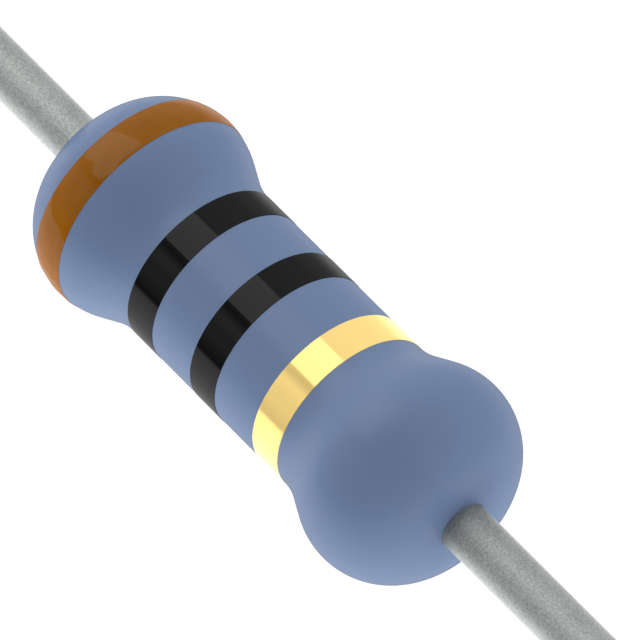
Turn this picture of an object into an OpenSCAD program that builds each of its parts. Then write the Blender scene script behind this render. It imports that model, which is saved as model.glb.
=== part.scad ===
// Axial film resistor with a dog-bone coated body, in millimetres.
// The X axis runs along the leads, the origin is the middle of the body, and +Z is up.
// A ceramic rod carries a helically trimmed film. A pressed cup grips each end of it, a wire is
// welded to each cup, and a lacquer coating covers the lot, with colour bands painted on it.

/* [Body] */
// Length of the coated body, from tip to tip of its domed ends
body_len = 8.92; // [7.5:0.02:12]
// Diameter of the coated body over its end bulges
body_d = 3.6; // [3:0.1:5]
// Radius of the round crown of each end bulge
crown_r = 1.26; // [1.1:0.02:1.4]
// Radius of the almost flat dome that closes each end
dome_r = 8; // [3:0.25:12]
// Slope of each shoulder, from the crown down to the barrel, in degrees
shoulder_slope = 25.2; // [18:0.2:36]
// Radius of the hollow fillet where a shoulder meets the barrel
waist_r = 1.16; // [0.2:0.02:1.5]

/* [Coating] */
// Thickness of the lacquer on the barrel
barrel_coat = 0.245; // [0.15:0.005:0.35]
// Thickness of the lacquer over the side of an end cap
cap_coat = 0.38; // [0.3:0.01:0.5]
// Thickness of the lacquer over the face of an end cap, at the lead
face_coat = 0.6; // [0.45:0.05:0.9]

/* [Core and film] */
// Thickness of the resistive film, drawn thicker than the real one
film_t = 0.02; // [0.01:0.005:0.05]
// Chamfer on the two ends of the ceramic rod
core_chamfer = 0.05; // [0.02:0.01:0.1]
// Turns of the helical groove that trims the film
trim_turns = 5; // [2:1:7]
// Width of the trimming groove along the rod
trim_kerf = 0.12; // [0.06:0.02:0.2]
// Full film left between the groove and the rim of each cap
trim_margin = 0.4; // [0.2:0.05:0.8]

/* [End caps] */
// Wall of the pressed cap
cap_wall = 0.25; // [0.15:0.01:0.3]
// Base of the pressed cap, where the lead is welded
cap_base = 0.25; // [0.15:0.01:0.4]
// Length of a cap, outside
cap_len = 1.35; // [1:0.05:1.7]
// Rounding of the cap's outer corner
cap_corner_r = 0.28; // [0.1:0.02:0.4]

/* [Leads] */
// Diameter of the lead wire
lead_d = 0.8; // [0.5:0.05:1]
// Length of a lead, from the tip of the body's dome
lead_len = 28; // [15:1:38]
// Diameter of the weld cone at the cap, where it spreads from the wire
weld_d = 1.12; // [1.05:0.02:1.5]
// Depth of the weld cone's top, where the wire starts, below the tip of the dome
weld_in = 0.14; // [0.1:0.02:0.3]
// Chamfer left on the wire's end when it is cut
cut_chamfer = 0.05; // [0.02:0.01:0.1]

/* [Colour bands] */
// Width of a band on the barrel
band_w = 0.59; // [0.3:0.01:0.8]
// Bare barrel between the start of a shoulder's fillet and the band next to it
band_margin = 0.02; // [0:0.01:0.4]
// How far the three barrel bands sit off the body's middle, towards the tolerance end
band_shift = 0.02; // [-0.2:0.01:0.2]
// Width of the first band, on the crown of the left bulge
crown_band_w = 0.61; // [0.3:0.01:0.9]
// Distance from the left tip of the body to the middle of the first band
crown_band_in = 1.17; // [1:0.01:1.6]
// Thickness of the band paint
paint_t = 0.006; // [0.004:0.002:0.03]

/* [Colours] */
// Colour of the coating
coat_colour = "#6c80a4"; // [#6c80a4:slate blue, #c9b08c:tan, #7d8f80:grey green]
// Colour of the first-digit band
first_digit_colour = "#95561a"; // [#95561a:brown, #b3261e:red, #d9761c:orange, #d8c12a:yellow]
// Colour of the second-digit band
second_digit_colour = "#1d1d1b"; // [#1d1d1b:black, #95561a:brown, #b3261e:red, #5b3f8c:violet]
// Colour of the multiplier band
multiplier_colour = "#1d1d1b"; // [#1d1d1b:black, #95561a:brown, #b3261e:red, #d9761c:orange]
// Colour of the tolerance band
tolerance_colour = "#e3bc62"; // [#e3bc62:gold, #b9bcbe:silver, #95561a:brown, #b3261e:red]
// Colour of the leads
lead_colour = "#a8adaa"; // [#a8adaa:tinned, #c98d5e:bare copper]
// Colour of the end caps
cap_colour = "#c4c6c8"; // [#c4c6c8:tinned, #8e9093:bare steel]
// Colour of the film
film_colour = "#4a4038"; // [#4a4038:oxide film, #7f8387:metal film]
// Colour of the ceramic rod
core_colour = "#eeeae0"; // [#eeeae0:alumina, #d9c8b4:steatite]

/* [Hidden] */

// Facets of a full turn
$fn = 96;
// Largest angle between neighbouring points of an arc in an outline
arc_step = 5;
// Sections in one turn of the trimming groove
groove_sections = 24;
// How far the trimming groove's cutter reaches past the film, in and out
groove_reach = 0.1;

// Radii of the stack, from the film outwards to the coating
cap_outer_r = body_d / 2 - cap_coat;
film_outer_r = cap_outer_r - cap_wall;
core_r = film_outer_r - film_t;
barrel_r = film_outer_r + barrel_coat;
lead_r = lead_d / 2;

// Places along the axis, from the body's middle outwards
tip_x = body_len / 2;
cap_face_x = tip_x - face_coat;
cap_rim_x = cap_face_x - cap_len;
core_end_x = cap_face_x - cap_base;
film_end_x = core_end_x - core_chamfer;
weld_top_x = tip_x - weld_in;
lead_end_x = tip_x + lead_len;
trim_end_x = cap_rim_x - trim_margin;

// The crown and the dome are two arcs that meet tangentially
crown_c_r = body_d / 2 - crown_r;
dome_c_x = tip_x - dome_r;
crown_c_x = dome_c_x + sqrt(pow(dome_r - crown_r, 2) - pow(crown_c_r, 2));
crown_end_angle = atan2(crown_c_r, crown_c_x - dome_c_x);

// The shoulder leaves the crown tangentially, and the fillet meets it and the barrel the same way
shoulder_x = crown_c_x - crown_r * sin(shoulder_slope);
shoulder_r = crown_c_r + crown_r * cos(shoulder_slope);
waist_c_r = barrel_r + waist_r;
waist_end_r = waist_c_r - waist_r * cos(shoulder_slope);
waist_end_x = shoulder_x - (shoulder_r - waist_end_r) / tan(shoulder_slope);
waist_c_x = waist_end_x - waist_r * sin(shoulder_slope);

// Distance from the middle barrel band to the band on either side of it
band_pitch = waist_c_x - band_margin - band_w / 2;

// Points of an arc about a centre [x, r]; skip = 1 leaves out the point that it shares with the last arc
function arc(centre, radius, start_angle, end_angle, skip = 0) =
    let (turn = end_angle - start_angle, count = ceil(abs(turn) / arc_step))
    [for (i = [skip : count])
        let (a = start_angle + turn * i / count)
        centre + radius * [cos(a), sin(a)]];

// The outline turned back to front, and the same outline on the body's other side
function backwards(points) = [for (i = [len(points) - 1 : -1 : 0]) points[i]];
function mirrored(points) = [for (p = points) [-p[0], p[1]]];

// The right half of the coating's outline: waist fillet, straight shoulder, crown and dome
half_outline = concat(
    arc([waist_c_x, waist_c_r], waist_r, 270, 270 + shoulder_slope),
    arc([crown_c_x, crown_c_r], crown_r, 90 + shoulder_slope, crown_end_angle),
    arc([dome_c_x, 0], dome_r, crown_end_angle, 0, 1));

// The whole outline of the coating, from one tip to the other
skin_outline = concat(backwards(mirrored(half_outline)), half_outline);

// Radius of the coating's skin at a place along the axis
function skin_r(x) = lookup(x, skin_outline);

// Turns an outline of [x, r] points about the X axis
module turned(outline) {
    rotate([0, 90, 0])
        rotate_extrude()
            polygon([for (p = outline) [p[1], p[0]]]);
}

// A plain round rod along the X axis
module rod(start_x, end_x, radius) {
    translate([start_x, 0, 0])
        rotate([0, 90, 0])
            cylinder(h = end_x - start_x, r = radius);
}

// The outer form of the right end cap: a plug with a rounded outer corner, and the weld cone on its face
module cap_blank() {
    corner = arc([cap_face_x - cap_corner_r, cap_outer_r - cap_corner_r], cap_corner_r, 90, 0);
    weld = [[cap_face_x, weld_d / 2], [weld_top_x, lead_r], [weld_top_x, 0]];
    turned(concat([[cap_rim_x, 0], [cap_rim_x, cap_outer_r]], corner, weld));
}

// The right end cap: the blank, bored to grip the filmed rod
module end_cap() {
    difference() {
        cap_blank();
        rod(0, core_end_x, film_outer_r);
    }
}

// The right lead: a straight wire that stands on the weld cone and was cut off at its far end
module lead() {
    turned([[weld_top_x, 0], [weld_top_x, lead_r], [lead_end_x - cut_chamfer, lead_r],
            [lead_end_x, lead_r - cut_chamfer], [lead_end_x, 0]]);
}

// The helical cutter that trims the film: a square-edged strip wound round the rod
module trimming_groove() {
    steps = groove_sections * trim_turns;
    travel = 2 * trim_end_x - trim_kerf;
    inner_r = core_r - groove_reach;
    outer_r = film_outer_r + groove_reach;
    section = [[0, inner_r], [trim_kerf, inner_r], [trim_kerf, outer_r], [0, outer_r]];
    points = [for (i = [0 : steps], c = section)
        let (a = 360 * i / groove_sections)
        [-trim_end_x + travel * i / steps + c[0], c[1] * sin(a), c[1] * cos(a)]];
    sides = [for (i = [0 : 4 : 4 * steps - 4], c = [0 : 3])
        let (d = (c + 1) % 4)
        [i + c, i + d, i + 4 + d, i + 4 + c]];
    near_end = [3, 2, 1, 0];
    far_end = [for (c = [0 : 3]) 4 * steps + c];
    polyhedron(points, concat(sides, [near_end, far_end]));
}

// A ring of paint that follows the coating's skin
module band(middle_x, width) {
    start_x = middle_x - width / 2;
    end_x = middle_x + width / 2;
    between = [for (p = skin_outline) if (p[0] > start_x && p[0] < end_x) p];
    seat = concat([[start_x, skin_r(start_x)]], between, [[end_x, skin_r(end_x)]]);
    turned(concat(seat, backwards([for (p = seat) p + [0, paint_t]])));
}

// The alumina rod that carries the film and the caps
module ceramic_core() {
    color(core_colour)
        turned([[-core_end_x, 0], [-core_end_x, core_r - core_chamfer], [-film_end_x, core_r],
                [film_end_x, core_r], [core_end_x, core_r - core_chamfer], [core_end_x, 0]]);
}

// The film on the rod, cut through by the trimming groove
module resistive_film() {
    color(film_colour)
        difference() {
            rod(-film_end_x, film_end_x, film_outer_r);
            rod(-core_end_x, core_end_x, core_r);
            trimming_groove();
        }
}

// The pressed cup on the left end of the filmed rod
module left_end_cap() {
    color(cap_colour) mirror([1, 0, 0]) end_cap();
}

// The pressed cup on the right end of the filmed rod
module right_end_cap() {
    color(cap_colour) end_cap();
}

// The tinned wire welded to the left cap
module left_lead() {
    color(lead_colour) mirror([1, 0, 0]) lead();
}

// The tinned wire welded to the right cap
module right_lead() {
    color(lead_colour) lead();
}

// The lacquer over the film and the caps, with a way out for each lead
module lacquer_coating() {
    color(coat_colour)
        difference() {
            turned(skin_outline);
            rod(-core_end_x, core_end_x, film_outer_r);
            for (side = [0, 1]) {
                mirror([side, 0, 0]) {
                    cap_blank();
                    lead();
                }
            }
        }
}

// The brown ring on the crown of the left bulge
module first_digit_band() {
    color(first_digit_colour) band(-tip_x + crown_band_in, crown_band_w);
}

// The black ring next to it, at the left end of the barrel
module second_digit_band() {
    color(second_digit_colour) band(band_shift - band_pitch, band_w);
}

// The black ring in the middle of the barrel
module multiplier_band() {
    color(multiplier_colour) band(band_shift, band_w);
}

// The gold ring at the right end of the barrel
module tolerance_band() {
    color(tolerance_colour) band(band_shift + band_pitch, band_w);
}

ceramic_core();
resistive_film();
left_end_cap();
right_end_cap();
left_lead();
right_lead();
lacquer_coating();
first_digit_band();
second_digit_band();
multiplier_band();
tolerance_band();
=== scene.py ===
"""The axial resistor's looks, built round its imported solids, in metres.

The X axis runs along the leads and +Z is up. Each turned piece is drawn as an outline, with x along the
axis and r away from it, and the outline is then turned about the X axis.
"""
import math

import bpy
from mathutils import Matrix, Quaternion, Vector


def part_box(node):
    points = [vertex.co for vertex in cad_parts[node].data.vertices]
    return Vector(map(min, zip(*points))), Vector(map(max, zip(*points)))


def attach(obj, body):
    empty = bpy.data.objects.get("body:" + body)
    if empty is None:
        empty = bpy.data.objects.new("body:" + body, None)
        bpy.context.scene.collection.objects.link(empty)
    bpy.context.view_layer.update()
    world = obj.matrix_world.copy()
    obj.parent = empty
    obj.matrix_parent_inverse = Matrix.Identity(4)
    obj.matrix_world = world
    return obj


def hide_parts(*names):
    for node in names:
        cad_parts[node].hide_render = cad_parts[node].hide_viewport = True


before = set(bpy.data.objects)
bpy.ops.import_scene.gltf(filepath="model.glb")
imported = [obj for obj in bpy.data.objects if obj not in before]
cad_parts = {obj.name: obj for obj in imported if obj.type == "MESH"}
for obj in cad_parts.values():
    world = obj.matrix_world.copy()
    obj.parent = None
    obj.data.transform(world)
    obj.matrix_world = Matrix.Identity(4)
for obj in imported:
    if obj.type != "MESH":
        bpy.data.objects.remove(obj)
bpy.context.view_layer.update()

MM = 0.001

# Driving sizes of the coating, as in the part's source
crown_radius = 1.26 * MM
dome_radius = 8 * MM
shoulder_slope = math.radians(25.2)
waist_radius = 1.16 * MM
face_coat = 0.6 * MM
weld_radius = 0.56 * MM
cap_corner = 0.28 * MM
paint_thickness = 0.006 * MM
cut_chamfer = 0.05 * MM

# Rounding of a paint ring's edges, and the steps of that rounding, of other arcs and of a full turn.
# The slack keeps an arc of whole steps from getting one more.
paint_rounding = 0.004 * MM
rounding_step = math.radians(30)
arc_step = math.radians(3)
turn_steps = 192
step_slack = 0.001

# Points closer than this are one, and edges sharper than this stay sharp in the shading
merge_distance = 0.0001 * MM
sharp_edge = math.radians(35)

# Runs in the brown paint: their width, how far they reach, and the noise level that stays in place
run_width = 0.28 * MM
run_reach = 2.4 * paint_thickness
run_level = 0.45

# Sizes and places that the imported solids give. The coating's lowest point lies on its true radius.
body_radius = -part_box("lacquer_coating")[0].z
wire_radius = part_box("right_lead")[1].z
wire_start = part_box("right_lead")[0].x
film_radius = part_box("resistive_film")[1].z
cap_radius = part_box("right_end_cap")[1].z
cap_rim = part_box("right_end_cap")[0].x
barrel_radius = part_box("multiplier_band")[1].z - paint_thickness
dome_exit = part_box("lacquer_coating")[1].x

# The dome's centre comes from where it meets the wire, and the crown touches it from inside
dome_centre = dome_exit - math.sqrt(dome_radius ** 2 - wire_radius ** 2)
tip = dome_centre + dome_radius
cap_face = tip - face_coat
crown_height = body_radius - crown_radius
crown_centre = dome_centre + math.sqrt((dome_radius - crown_radius) ** 2 - crown_height ** 2)
dome_start = math.atan2(crown_height, crown_centre - dome_centre)
dome_end = math.asin(wire_radius / dome_radius)

# The shoulder is tangent to the crown, and the waist's fillet to the shoulder and the barrel
crown_start = math.pi / 2 + shoulder_slope
shoulder_foot_r = barrel_radius + waist_radius * (1 - math.cos(shoulder_slope))
shoulder_top_x = crown_centre - crown_radius * math.sin(shoulder_slope)
shoulder_top_r = crown_height + crown_radius * math.cos(shoulder_slope)
shoulder_foot_x = shoulder_top_x - (shoulder_top_r - shoulder_foot_r) / math.tan(shoulder_slope)
waist_centre = shoulder_foot_x - waist_radius * math.sin(shoulder_slope)


class Outline:
    """An outline drawn point by point in edit mode, and turned into a piece about the X axis."""

    def __init__(self, name, x, r):
        bpy.ops.object.select_all(action="DESELECT")
        bpy.ops.mesh.primitive_plane_add(size=MM, location=(0, 0, 0))
        self.piece = bpy.context.object
        self.piece.name = name
        bpy.ops.object.mode_set(mode="EDIT")
        bpy.ops.mesh.select_mode(type="VERT")
        bpy.ops.mesh.select_all(action="SELECT")
        bpy.ops.mesh.merge(type="CENTER")
        bpy.ops.transform.translate(value=(x, 0, r))
        self.end = Vector((x, 0, r))

    def line(self, x, r):
        """Draws a straight line to the next point."""
        target = Vector((x, 0, r))
        bpy.ops.mesh.extrude_region_move(TRANSFORM_OT_translate={"value": target - self.end})
        self.end = target

    def arc(self, x, r, turn, step=arc_step):
        """Draws an arc about the centre x, r. A turn above 0 goes from +X towards +Z."""
        centre = Vector((x, 0, r))
        steps = math.ceil(abs(turn) / step - step_slack)
        bpy.ops.mesh.spin(steps=steps, angle=turn, center=centre, axis=(0, 1, 0))
        self.end = centre + Matrix.Rotation(-turn, 3, "Y") @ (self.end - centre)

    def turned(self, mirror=False):
        """Turns the outline about the X axis, and makes the other half of the piece if asked to."""
        bpy.ops.mesh.select_all(action="SELECT")
        bpy.ops.mesh.spin(steps=turn_steps, angle=2 * math.pi, center=(0, 0, 0), axis=(1, 0, 0))
        bpy.ops.mesh.select_all(action="SELECT")
        bpy.ops.mesh.remove_doubles(threshold=merge_distance)
        bpy.ops.object.mode_set(mode="OBJECT")
        if mirror:
            half = self.piece.modifiers.new("other_half", "MIRROR")
            half.merge_threshold = merge_distance
            bpy.ops.object.modifier_apply(modifier=half.name)
        bpy.ops.object.mode_set(mode="EDIT")
        bpy.ops.mesh.select_all(action="SELECT")
        bpy.ops.mesh.normals_make_consistent(inside=False)
        bpy.ops.object.mode_set(mode="OBJECT")
        bpy.ops.object.shade_smooth_by_angle(angle=sharp_edge)
        return self.piece


def coating():
    """The lacquer: its skin from the barrel's middle to the wire, then its inside back over the cap."""
    outline = Outline("coating", 0, barrel_radius)
    outline.line(waist_centre, barrel_radius)
    outline.arc(waist_centre, barrel_radius + waist_radius, shoulder_slope)
    outline.line(shoulder_top_x, shoulder_top_r)
    outline.arc(crown_centre, crown_height, dome_start - crown_start)
    outline.arc(dome_centre, 0, dome_end - dome_start)
    outline.line(wire_start, wire_radius)
    outline.line(cap_face, weld_radius)
    outline.line(cap_face, cap_radius - cap_corner)
    outline.arc(cap_face - cap_corner, cap_radius - cap_corner, math.pi / 2)
    outline.line(cap_rim, cap_radius)
    outline.line(cap_rim, film_radius)
    outline.line(0, film_radius)
    return outline.turned(mirror=True)


def barrel_ring(name, node):
    """A ring of paint on the barrel, as wide as its solid, with rounded edges.

    A narrow strip beside each rounded edge keeps the wide face between them flat in the shading.
    """
    low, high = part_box(node)
    inner = barrel_radius
    outer = high.z
    outline = Outline(name, low.x, inner)
    outline.line(low.x, outer - paint_rounding)
    outline.arc(low.x + paint_rounding, outer - paint_rounding, -math.pi / 2, rounding_step)
    outline.line(low.x + 2 * paint_rounding, outer)
    outline.line(high.x - 2 * paint_rounding, outer)
    outline.line(high.x - paint_rounding, outer)
    outline.arc(high.x - paint_rounding, outer - paint_rounding, -math.pi / 2, rounding_step)
    outline.line(high.x, inner)
    outline.line(low.x, inner)
    return outline.turned()


def crown_ring(name, node):
    """A ring of paint that follows the crown of the left bulge, with the same edges and strips."""
    low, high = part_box(node)
    start = math.acos((low.x + crown_centre) / crown_radius)
    end = math.acos((high.x + crown_centre) / crown_radius)

    def on_crown(angle, height):
        """The point at an angle round the crown's centre, and at a height over the lacquer."""
        reach = crown_radius + height
        return -crown_centre + reach * math.cos(angle), crown_height + reach * math.sin(angle)

    side = paint_thickness - paint_rounding
    strip = paint_rounding / (crown_radius + side)
    outline = Outline(name, *on_crown(start, 0))
    outline.line(*on_crown(start, side))
    outline.arc(*on_crown(start - strip, side), -math.pi / 2, rounding_step)
    outline.arc(-crown_centre, crown_height, -strip)
    outline.arc(-crown_centre, crown_height, end - start + 4 * strip)
    outline.arc(-crown_centre, crown_height, -strip)
    outline.arc(*on_crown(end + strip, side), -math.pi / 2, rounding_step)
    outline.line(*on_crown(end, 0))
    outline.arc(-crown_centre, crown_height, start - end)
    ring = outline.turned()

    # Paint that flowed on the curve before it dried is a little uneven between its edges
    margin = 3 * strip
    skin = ring.vertex_groups.new(name="skin")
    for vertex in ring.data.vertices:
        x = vertex.co.x + crown_centre
        r = math.hypot(vertex.co.y, vertex.co.z) - crown_height
        outside = math.hypot(x, r) > crown_radius + side
        if outside and end + margin < math.atan2(r, x) < start - margin:
            skin.add([vertex.index], 1.0, "REPLACE")
    runs = bpy.data.textures.new("runs", "CLOUDS")
    runs.noise_scale = run_width
    runs.noise_depth = 0
    flow = ring.modifiers.new("flow", "DISPLACE")
    flow.texture = runs
    flow.vertex_group = skin.name
    flow.strength = run_reach
    flow.mid_level = run_level
    bpy.ops.object.modifier_apply(modifier=flow.name)
    return ring


def wire(name, node):
    """A straight wire from its weld to the end where it was cut off."""
    low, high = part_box(node)
    side = 1 if high.x > 0 else -1
    start, end = sorted((low.x, high.x), key=abs)
    outline = Outline(name, start, 0)
    outline.line(start, wire_radius)
    outline.line(end - side * cut_chamfer, wire_radius)
    outline.line(end, wire_radius - cut_chamfer)
    outline.line(end, 0)
    return outline.turned()


class Value:
    """A number that changes over a surface. Its operators add the Math nodes."""

    def __init__(self, finish, socket):
        self.finish = finish
        self.socket = socket

    def math(self, operation, first, second):
        """What a Math node makes of two numbers or values."""
        return self.finish.value("ShaderNodeMath", {"operation": operation}, {0: first, 1: second})

    def __add__(self, other):
        return self.math("ADD", self, other)

    def __sub__(self, other):
        return self.math("SUBTRACT", self, other)

    def __rsub__(self, other):
        return self.math("SUBTRACT", other, self)

    def __mul__(self, other):
        return self.math("MULTIPLY", self, other)

    __radd__ = __add__
    __rmul__ = __mul__

    def swing(self, amount):
        """How far the value is from its middle, 0.5, times an amount."""
        return amount * (self - 0.5)

    def above_zero(self):
        """The value, and 0 wherever it is less."""
        return self.math("MAXIMUM", self, 0.0)


class Finish:
    """A material, or the studio's surround: nodes are added to its tree one by one."""

    def __init__(self, owner):
        self.owner = owner
        owner.use_nodes = True
        self.tree = owner.node_tree

    def feed(self, socket, value):
        """Links a socket to a value or to another socket, or sets its number, vector or colour."""
        source = value.socket if isinstance(value, Value) else value
        if isinstance(source, bpy.types.NodeSocket):
            self.tree.links.new(source, socket)
        elif socket.type == "RGBA":
            socket.default_value = (*source, 1)
        else:
            socket.default_value = source

    def node(self, kind, settings=None, sockets=None):
        """A new node. Its settings, or a ramp's stops, are made first, and then its sockets are fed."""
        made = self.tree.nodes.new(kind)
        for name, setting in (settings or {}).items():
            if name == "stops":
                set_stops(made.color_ramp.elements, setting)
            else:
                setattr(made, name, setting)
        for name, value in (sockets or {}).items():
            self.feed(made.inputs[name], value)
        return made

    def value(self, kind, settings=None, sockets=None, output=0):
        """What a new node gives at one output, as a value to reckon with."""
        return Value(self, self.node(kind, settings, sockets).outputs[output])

    def place(self):
        """The place on the piece, in metres."""
        return self.node("ShaderNodeTexCoord").outputs["Object"]

    def noise(self, grain, detail=2.0):
        """Soft noise from 0 to 1 with features about one grain across, in metres."""
        sockets = {"Vector": self.place(), "Scale": 1 / grain, "Detail": detail}
        return self.value("ShaderNodeTexNoise", {}, sockets, "Fac")

    def mix(self, share, first, second):
        """A colour between two colours. Sockets 6 and 7 of a Mix node are its colours."""
        made = self.node("ShaderNodeMix", {"data_type": "RGBA"}, {"Factor": share, 6: first, 7: second})
        return made.outputs[2]

    def bump(self, height, depth):
        """A normal for a surface whose height, from 0 to 1, stands for a depth in metres."""
        made = self.node("ShaderNodeBump", {}, {"Height": height, "Distance": depth, "Strength": 1.0})
        return made.outputs["Normal"]

    def surface(self, varying, constant):
        """Feeds the shader with what varies over the surface, and sets what is the same all over it."""
        shader = self.tree.nodes["Principled BSDF"]
        for name, value in {**varying, **constant}.items():
            self.feed(shader.inputs[name], value)
        return self.owner


def set_stops(elements, stops):
    """Gives a ramp its stops, each a place from 0 to 1 and a grey."""
    for at, _ in stops[1:-1]:
        elements.new(at)
    for element, (at, grey) in zip(elements, stops):
        element.position = at
        element.color = (grey, grey, grey, 1)


def new_finish(name):
    """A new material, ready for its nodes."""
    return Finish(bpy.data.materials.new(name))


def dress(piece, material):
    """Gives a piece its one material."""
    piece.data.materials.clear()
    piece.data.materials.append(material)


def baked_lacquer():
    """Matte slate-blue lacquer with a fine grain.

    At a slant its base colour is painted darker: painted shade for the light its clear skin turns back.
    """
    finish = new_finish("baked_lacquer")
    mottle = finish.noise(0.9 * MM)
    grain = finish.noise(0.05 * MM, detail=3.0)
    tone = 0.5 + mottle.swing(0.3) + grain.swing(0.35)
    pigment = finish.mix(tone, (0.156, 0.222, 0.371), (0.18, 0.255, 0.427))
    # Painted shade: the pigment is darkened towards black where the surface is seen at a slant
    skin = finish.value("ShaderNodeFresnel", {}, {"IOR": 1.5})
    colour = finish.mix(skin * (1 - 0.55 * skin), pigment, (0, 0, 0))
    ripple = finish.noise(0.35 * MM)
    height = 0.6 * ripple + 0.4 * grain
    relief = finish.bump(height, 0.002 * MM)
    return finish.surface(
        {"Base Color": colour, "Roughness": 0.55 + grain.swing(0.1), "Normal": relief},
        {"Specular IOR Level": 0.0, "Coat Weight": 0.14, "Coat IOR": 1.8, "Coat Roughness": 0.3})


# The clear gloss over the black and the brown paint
paint_gloss = {"Roughness": 0.5, "Specular IOR Level": 0.0, "Coat Weight": 0.1385, "Coat IOR": 1.8,
               "Coat Roughness": 0.03}


def black_paint():
    """Glossy black band paint."""
    finish = new_finish("black_paint")
    flow = finish.noise(0.6 * MM)
    colour = finish.mix(flow, (0.0004, 0.0008, 0.0006), (0.0008, 0.0014, 0.0012))
    return finish.surface({"Base Color": colour, "Normal": finish.bump(flow, 0.0003 * MM)}, paint_gloss)


def gold_paint():
    """Glossy gold band paint."""
    finish = new_finish("gold_paint")
    flow = finish.noise(0.6 * MM)
    flake = finish.noise(0.02 * MM)
    colour = finish.mix(flake, (0.99, 0.7, 0.24), (1.0, 0.755, 0.27))
    return finish.surface(
        {"Base Color": colour, "Normal": finish.bump(flow, 0.0003 * MM)},
        {"Metallic": 0.31, "Roughness": 0.08, "Specular IOR Level": 0.0})


def brown_paint():
    """Glossy brown band paint, slightly uneven on the curve of the bulge."""
    finish = new_finish("brown_paint")
    flow = finish.noise(0.4 * MM, detail=1.0)
    colour = finish.mix(flow, (0.242, 0.081, 0.0004), (0.33, 0.113, 0.0008))
    return finish.surface({"Base Color": colour, "Normal": finish.bump(flow, 0.012 * MM)}, paint_gloss)


def tinned_wire():
    """Satin tinned copper with a fine speckle."""
    finish = new_finish("tinned_wire")
    speckle = finish.noise(0.032 * MM, detail=1.0)
    cloud = finish.noise(0.4 * MM)
    tone = 0.5 + speckle.swing(1.25) + cloud.swing(0.5)
    colour = finish.mix(tone, (0.188, 0.197, 0.19), (0.43, 0.45, 0.434))
    relief = finish.bump(speckle, 0.002 * MM)
    return finish.surface(
        {"Base Color": colour, "Roughness": 0.57 + cloud.swing(0.1), "Normal": relief},
        {"Metallic": 0.9})


def pressed_cap():
    """Pressed, tinned steel."""
    finish = new_finish("pressed_cap")
    cloud = finish.noise(0.3 * MM)
    colour = finish.mix(cloud, (0.5, 0.51, 0.52), (0.62, 0.63, 0.64))
    return finish.surface({"Base Color": colour, "Roughness": 0.3 + 0.15 * cloud}, {"Metallic": 1.0})


def resistive_film():
    """Thin dark film."""
    finish = new_finish("resistive_film")
    cloud = finish.noise(0.15 * MM)
    colour = finish.mix(cloud, (0.05, 0.04, 0.032), (0.08, 0.062, 0.05))
    return finish.surface({"Base Color": colour, "Roughness": 0.3 + 0.1 * cloud}, {})


def fired_alumina():
    """Plain fired ceramic."""
    finish = new_finish("fired_alumina")
    grain = finish.noise(0.03 * MM)
    colour = finish.mix(grain, (0.8, 0.78, 0.72), (0.87, 0.85, 0.8))
    return finish.surface(
        {"Base Color": colour, "Normal": finish.bump(grain, 0.001 * MM)}, {"Roughness": 0.6})


# The pieces that replace solids: each with its node, its material slot and its material
lacquer, tin = baked_lacquer(), tinned_wire()
brown, black, gold = brown_paint(), black_paint(), gold_paint()
new_pieces = [
    (coating(), "lacquer_coating", "body_lacquer", lacquer),
    (crown_ring("first_digit_ring", "first_digit_band"), "first_digit_band", "brown_paint", brown),
    (barrel_ring("second_digit_ring", "second_digit_band"), "second_digit_band", "black_paint", black),
    (barrel_ring("multiplier_ring", "multiplier_band"), "multiplier_band", "black_paint", black),
    (barrel_ring("tolerance_ring", "tolerance_band"), "tolerance_band", "gold_paint", gold),
    (wire("left_wire", "left_lead"), "left_lead", "tinned_wire", tin),
    (wire("right_wire", "right_lead"), "right_lead", "tinned_wire", tin),
]
for piece, node, slot, material in new_pieces:
    dress(piece, material)
    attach(piece, "root")
    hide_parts(node)

# The hidden solids keep their own form
cap_metal = pressed_cap()
for node, material in (("ceramic_core", fired_alumina()), ("resistive_film", resistive_film()),
                       ("left_end_cap", cap_metal), ("right_end_cap", cap_metal)):
    dress(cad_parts[node], material)

# Studio sizes: the floor lies this far under the leads, and the softbox hangs this far over them
floor_drop = 15 * MM
box_height = 250 * MM

# The floor's radius, how far in front of the part its middle is, and how far behind it the painted
# light pools
floor_radius = 2.8 * floor_drop
floor_forward = 1.1 * floor_drop
pool_back = 0.6 * floor_drop

# The studio's light as a whole, the softbox's share of it, and the floor's glow where its painted light
# pools
studio_light = 3.54
box_share = 0.53
floor_share = 0.745

# What the floor's glow loses over one drop's distance from the pool, and over one drop towards +X
floor_fall = 0.113
floor_lean = 0.088

# How bright the camera sees the floor, by its own glow, and the surround
floor_white = 0.85
surround_white = 1.1


def floor():
    """A round pale floor that glows: even white to the camera, a painted pool of light to all else;
    clear from below.
    """
    bpy.ops.object.select_all(action="DESELECT")
    bpy.ops.mesh.primitive_circle_add(vertices=128, radius=floor_radius, fill_type="NGON",
                                      location=(0, -floor_forward, -floor_drop))
    disc = bpy.context.object
    disc.name = "floor"
    finish = new_finish("pale_floor")
    seen = finish.value("ShaderNodeLightPath", output="Is Camera Ray")
    pool = finish.node("ShaderNodeVectorMath", {"operation": "SUBTRACT"},
                       {0: finish.place(), 1: (0, pool_back, 0)})
    away = finish.value("ShaderNodeVectorMath", {"operation": "LENGTH"}, {0: pool.outputs[0]}, "Value")
    along = finish.value("ShaderNodeSeparateXYZ", {}, {0: finish.place()}, "X")
    # The glow that all but the camera see is a painted pool of light, fading from the pool and towards
    # +X
    share = floor_share - (floor_fall / floor_drop) * away - (floor_lean / floor_drop) * along
    lit = studio_light * share
    finish.surface({"Emission Color": lit + seen * (floor_white - lit)},
                   {"Base Color": (0.3, 0.3, 0.3), "Roughness": 1.0, "Specular IOR Level": 0.0,
                    "Emission Strength": 1.0})
    under = finish.node("ShaderNodeNewGeometry").outputs["Backfacing"]
    shader = finish.tree.nodes["Principled BSDF"].outputs[0]
    clear = finish.node("ShaderNodeBsdfTransparent").outputs[0]
    shown = finish.node("ShaderNodeMixShader", {}, {0: under, 1: shader, 2: clear})
    finish.feed(finish.tree.nodes["Material Output"].inputs["Surface"], shown.outputs[0])
    dress(disc, finish.owner)


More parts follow.
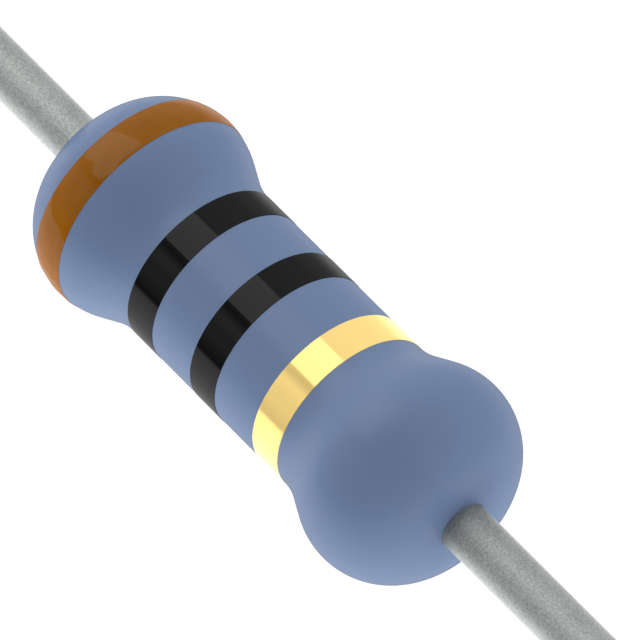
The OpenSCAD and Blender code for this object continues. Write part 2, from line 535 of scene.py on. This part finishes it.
def softbox(radiance):
    """The overhead box, whose reflection is the bright patch on each band."""
    near, far = -0.659 * box_height, 0.231 * box_height
    left, right = -2.3 * box_height, -0.33 * box_height
    lamp = bpy.data.lights.new("softbox", "AREA")
    lamp.shape = "RECTANGLE"
    lamp.size = right - left
    lamp.size_y = far - near
    lamp.energy = radiance * math.pi * lamp.size * lamp.size_y
    box = bpy.data.objects.new("softbox", lamp)
    box.location = ((left + right) / 2, (near + far) / 2, box_height)
    box.visible_camera = False
    box.visible_diffuse = False
    bpy.context.collection.objects.link(box)


# The surround's grey at each angle about the leads: 0 is overhead, 90 the front (-Y) and -90 the back
floor_behind = [(-180, 0.8), (-134, 0.8), (-126, 0.75), (-118, 0.63), (-110, 0.5), (-102, 0.34)]
wall_behind = [(-94, 0.27), (-62, 0.23), (-50, 0.26), (-30, 0.25), (-14, 0.23)]
overhead = [(10, 0.17), (34, 0.11), (38, 0.02), (42, 0.06), (46, 0.16), (52, 0.27)]
wall_in_front = [(58, 0.25), (66, 0.18), (76, 0.16), (84, 0.14), (92, 0.06), (100, 0.0), (105, 0.0)]
floor_in_front = [(106, 0.46), (112, 0.5), (130, 0.7), (180, 0.8)]
round_the_part = floor_behind + wall_behind + overhead + wall_in_front + floor_in_front

# The greys lean along the leads: by this much towards +X, and by this much towards both ends
lean_to_x = -0.15
lean_to_ends = 0.12

# Two soft glows grow towards +X from the place where each starts: one above, and one high at the back
above_glow, above_start = 0.135, 0.35
back_glow, back_start = 0.36, -0.15


def surround():
    """The studio round the part, which the camera sees white."""
    world = bpy.data.worlds.new("studio")
    bpy.context.scene.world = world
    finish = Finish(world)
    direction = finish.node("ShaderNodeTexCoord").outputs["Generated"]
    parts = finish.node("ShaderNodeSeparateXYZ", {}, {0: direction})
    along, back, up = (Value(finish, parts.outputs[axis]) for axis in "XYZ")
    angle = finish.value("ShaderNodeMath", {"operation": "ARCTAN2"}, {0: back, 1: up})
    stops = [(degrees / 360 + 0.5, grey) for degrees, grey in round_the_part]
    walls = finish.value("ShaderNodeValToRGB", {"stops": stops}, {0: 0.5 - (0.5 / math.pi) * angle})
    lean = along * (lean_to_ends * along + lean_to_x)
    above = above_glow * (along - above_start).above_zero() * up
    high_back = back.above_zero() * up.above_zero()
    behind = back_glow * (along - back_start).above_zero() * high_back
    strength = studio_light * (walls + lean + above + behind)
    lit = finish.tree.nodes["Background"]
    finish.feed(lit.inputs["Color"], (1, 1, 1))
    finish.feed(lit.inputs["Strength"], strength.above_zero())
    white = finish.node("ShaderNodeBackground", {}, {"Color": (1, 1, 1), "Strength": surround_white})
    seen = finish.node("ShaderNodeLightPath").outputs["Is Camera Ray"]
    both = finish.node("ShaderNodeMixShader", {}, {0: seen, 1: lit.outputs[0], 2: white.outputs[0]})
    finish.feed(finish.tree.nodes["World Output"].inputs["Surface"], both.outputs[0])


def camera():
    """A long lens at the photograph's viewing angle.

    The view's middle lies to the right of the body's middle and above it, as the camera sees them.
    """
    azimuth, elevation = math.radians(51.9), math.radians(51.7)
    roll = -0.0032
    view_width = 9.5054 * MM
    to_the_right, above = 0.6455 * MM, 0.2862 * MM
    back = Vector((math.sin(azimuth) * math.cos(elevation), -math.cos(azimuth) * math.cos(elevation),
                   math.sin(elevation)))
    facing = (-back).to_track_quat("-Z", "Y")
    lens = bpy.data.cameras.new("camera")
    lens.sensor_width = 36
    lens.lens = 900
    distance = view_width * lens.lens / lens.sensor_width
    lens.clip_start, lens.clip_end = 0.1 * distance, 20 * distance
    eye = bpy.data.objects.new("camera", lens)
    aim = facing @ Vector((to_the_right, above, 0))
    eye.location = aim + back * distance
    eye.rotation_mode = "QUATERNION"
    eye.rotation_quaternion = facing @ Quaternion((0, 0, 1), roll)
    bpy.context.collection.objects.link(eye)
    bpy.context.scene.camera = eye


floor()
softbox(box_share * studio_light)
surround()
camera()
bpy.context.scene.view_settings.view_transform = "Standard"
